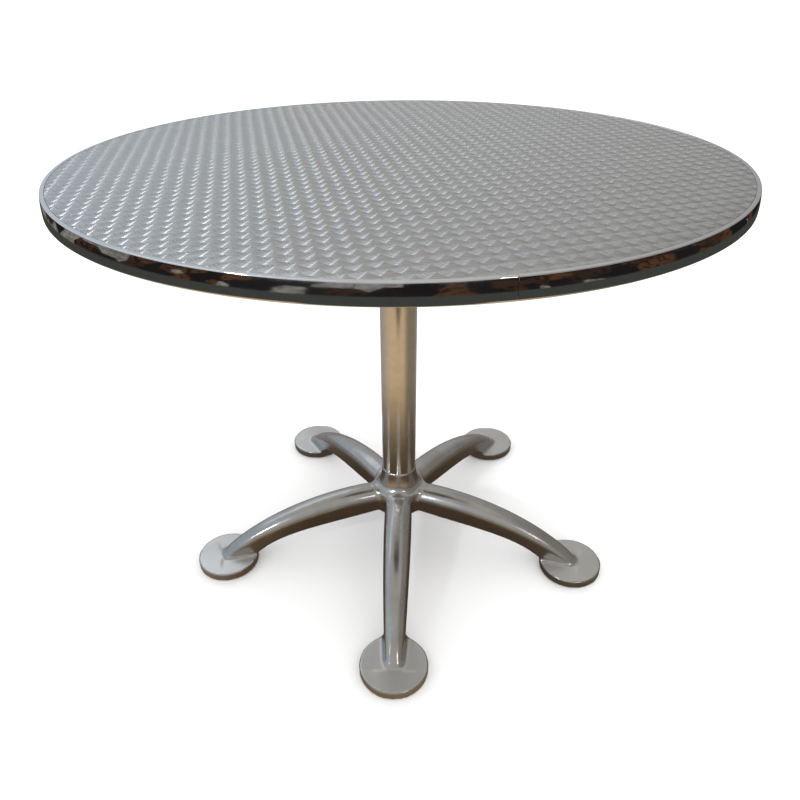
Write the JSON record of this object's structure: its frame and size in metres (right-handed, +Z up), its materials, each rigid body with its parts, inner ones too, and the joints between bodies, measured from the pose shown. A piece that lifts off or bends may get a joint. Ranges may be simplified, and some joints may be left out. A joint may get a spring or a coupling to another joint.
{
  "type": "bistro table",
  "caption": "Round bistro table with an engine-turned metal top in a polished edge band, on a tubular column and a polished cast star base with round levelling feet.",
  "frame": {"origin": "on the floor, under the column's axis", "axes": "+Z up; one leg of the star base points along -Y"},
  "size_m": [0.99, 0.99, 0.745],
  "materials": {
    "swirl_steel": "engine-turned overlapping swirls, satin",
    "polished_band": "mirror polished",
    "polished_tube": "polished, fine lengthwise grain",
    "polished_cast": "hand-polished sand casting",
    "mill_aluminium": "turned, unpolished",
    "board": "raw particle board",
    "laminate": "matt pale grey backing laminate",
    "black_steel": "black powder coat",
    "zinc_steel": "bright zinc plate",
    "nylon": "moulded black nylon"
  },
  "bodies": {
    "table": {"top_sheet": "swirl_steel", "edge_band": "polished_band", "band_joiner": "mill_aluminium", "top_core": "board", "backing_sheet": "laminate", "mounting_plate": "black_steel", "column_tube": "polished_tube", "column_plug": "mill_aluminium", "tie_rod": "zinc_steel", "top_washer": "zinc_steel", "top_nut": "zinc_steel", "base_washer": "zinc_steel", "base_nut": "zinc_steel", "base_casting": "polished_cast", "plate_screw_1": "zinc_steel", "plate_screw_2": "zinc_steel", "plate_screw_3": "zinc_steel", "plate_screw_4": "zinc_steel", "plate_screw_5": "zinc_steel", "plate_screw_6": "zinc_steel"},
    "pad_1": {"glide_pad_1": "nylon"},
    "stem_1": {"glide_stem_1": "zinc_steel"},
    "pad_2": {"glide_pad_2": "nylon"},
    "stem_2": {"glide_stem_2": "zinc_steel"},
    "pad_3": {"glide_pad_3": "nylon"},
    "stem_3": {"glide_stem_3": "zinc_steel"},
    "pad_4": {"glide_pad_4": "nylon"},
    "stem_4": {"glide_stem_4": "zinc_steel"},
    "pad_5": {"glide_pad_5": "nylon"},
    "stem_5": {"glide_stem_5": "zinc_steel"}
  },
  "joints": [
    {"name": "glide_drop_1", "type": "slide", "parent": "table", "child": "pad_1", "axis": [0, 0, -1], "range_m": [0, 0.005]},
    {"name": "glide_turn_1", "type": "hinge", "parent": "pad_1", "child": "stem_1", "pos_m": [0, -0.351, 0], "axis": [0, 0, -1], "range_deg": [0, 1440.1]},
    {"name": "glide_drop_2", "type": "slide", "parent": "table", "child": "pad_2", "axis": [0, 0, -1], "range_m": [0, 0.005]},
    {"name": "glide_turn_2", "type": "hinge", "parent": "pad_2", "child": "stem_2", "pos_m": [0.33382, -0.10847, 0], "axis": [0, 0, -1], "range_deg": [0, 1440.1]},
    {"name": "glide_drop_3", "type": "slide", "parent": "table", "child": "pad_3", "axis": [0, 0, -1], "range_m": [0, 0.005]},
    {"name": "glide_turn_3", "type": "hinge", "parent": "pad_3", "child": "stem_3", "pos_m": [0.20631, 0.28397, 0], "axis": [0, 0, -1], "range_deg": [0, 1440.1]},
    {"name": "glide_drop_4", "type": "slide", "parent": "table", "child": "pad_4", "axis": [0, 0, -1], "range_m": [0, 0.005]},
    {"name": "glide_turn_4", "type": "hinge", "parent": "pad_4", "child": "stem_4", "pos_m": [-0.20631, 0.28397, 0], "axis": [0, 0, -1], "range_deg": [0, 1440.1]},
    {"name": "glide_drop_5", "type": "slide", "parent": "table", "child": "pad_5", "axis": [0, 0, -1], "range_m": [0, 0.005]},
    {"name": "glide_turn_5", "type": "hinge", "parent": "pad_5", "child": "stem_5", "pos_m": [-0.33382, -0.10847, 0], "axis": [0, 0, -1], "range_deg": [0, 1440.1]}
  ],
  "couplings": [
    {"joint": "glide_turn_1", "follows": "glide_drop_1", "rad_per_m": 5026.5},
    {"joint": "glide_turn_2", "follows": "glide_drop_2", "rad_per_m": 5026.5},
    {"joint": "glide_turn_3", "follows": "glide_drop_3", "rad_per_m": 5026.5},
    {"joint": "glide_turn_4", "follows": "glide_drop_4", "rad_per_m": 5026.5},
    {"joint": "glide_turn_5", "follows": "glide_drop_5", "rad_per_m": 5026.5}
  ]
}
